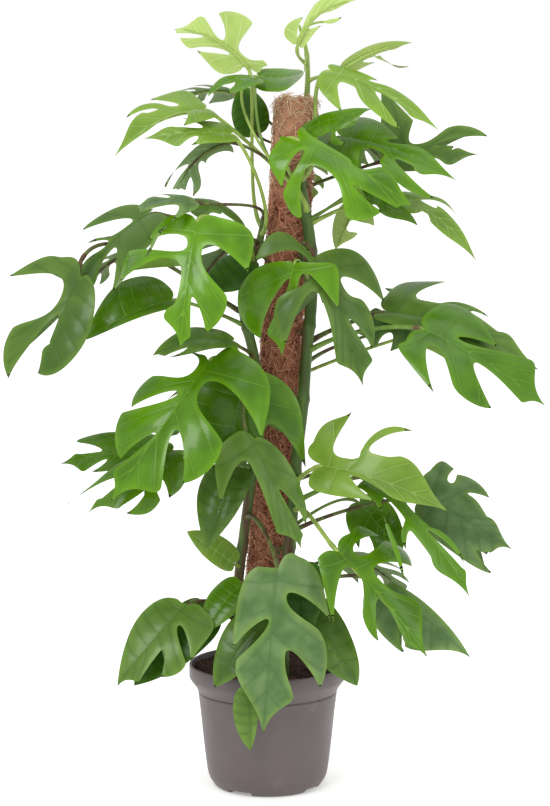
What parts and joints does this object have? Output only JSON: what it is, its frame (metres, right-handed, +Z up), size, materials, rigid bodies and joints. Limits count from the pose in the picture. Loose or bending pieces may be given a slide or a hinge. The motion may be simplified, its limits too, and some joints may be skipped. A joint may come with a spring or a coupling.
{
  "type": "potted mini monstera plant",
  "caption": "Climbing aroid house plant with deeply split leaves on long stalks, trained up a coir pole that stands in the soil of a round nursery pot.",
  "frame": {"origin": "centre of the pot's foot, on the surface it stands on", "axes": "+Z up; -Y towards the front, the side that most of the leaves face; +X to the right seen from the front"},
  "size_m": [0.623, 0.2949, 0.9457],
  "materials": {
    "pot": "moulded taupe-grey polypropylene, satin",
    "soil": "moist potting soil with bark crumbs, matt",
    "pole_core": "plain turned wood, matt",
    "coir": "reddish-brown coconut fibre mat, matt and hairy",
    "stem": "smooth green bark, satin",
    "leaf": "leathery green leaf with a soft gloss above and a paler matt underside"
  },
  "bodies": {
    "root": {"pot": "pot", "soil": "soil", "pole_core": "pole_core", "coir_pole": "coir", "stem_left": "stem", "stem_right": "stem", "stem_back": "stem", "leaf_crown_1": "leaf", "leaf_crown_2": "leaf", "leaf_crown_3": "leaf", "leaf_crown_4": "leaf", "leaf_crown_5": "leaf", "leaf_crown_6": "leaf", "leaf_low_left_1": "leaf", "leaf_low_left_2": "leaf", "leaf_low_left_3": "leaf", "leaf_low_left_4": "leaf", "leaf_low_left_5": "leaf", "leaf_low_left_6": "leaf", "leaf_low_left_7": "leaf", "leaf_low_left_8": "leaf", "leaf_low_right_1": "leaf", "leaf_low_right_2": "leaf", "leaf_low_right_3": "leaf", "leaf_low_right_4": "leaf", "leaf_low_right_5": "leaf", "leaf_low_right_6": "leaf", "leaf_mid_left_1": "leaf", "leaf_mid_left_2": "leaf", "leaf_mid_left_3": "leaf", "leaf_mid_left_4": "leaf", "leaf_mid_left_5": "leaf", "leaf_mid_left_6": "leaf", "leaf_mid_left_7": "leaf", "leaf_mid_right_1": "leaf", "leaf_mid_right_2": "leaf", "leaf_mid_right_3": "leaf", "leaf_middle_1": "leaf", "leaf_middle_2": "leaf", "leaf_skirt_1": "leaf", "leaf_skirt_2": "leaf", "leaf_skirt_3": "leaf", "leaf_skirt_4": "leaf", "leaf_skirt_5": "leaf", "leaf_skirt_6": "leaf", "leaf_skirt_7": "leaf", "leaf_skirt_8": "leaf", "leaf_top_left_1": "leaf", "leaf_top_left_2": "leaf", "leaf_top_left_3": "leaf", "leaf_top_left_4": "leaf", "leaf_top_right_1": "leaf", "leaf_top_right_2": "leaf", "leaf_top_right_3": "leaf", "leaf_top_right_4": "leaf", "leaf_top_right_5": "leaf", "leaf_top_right_6": "leaf", "leaf_top_right_7": "leaf"}
  },
  "joints": []
}
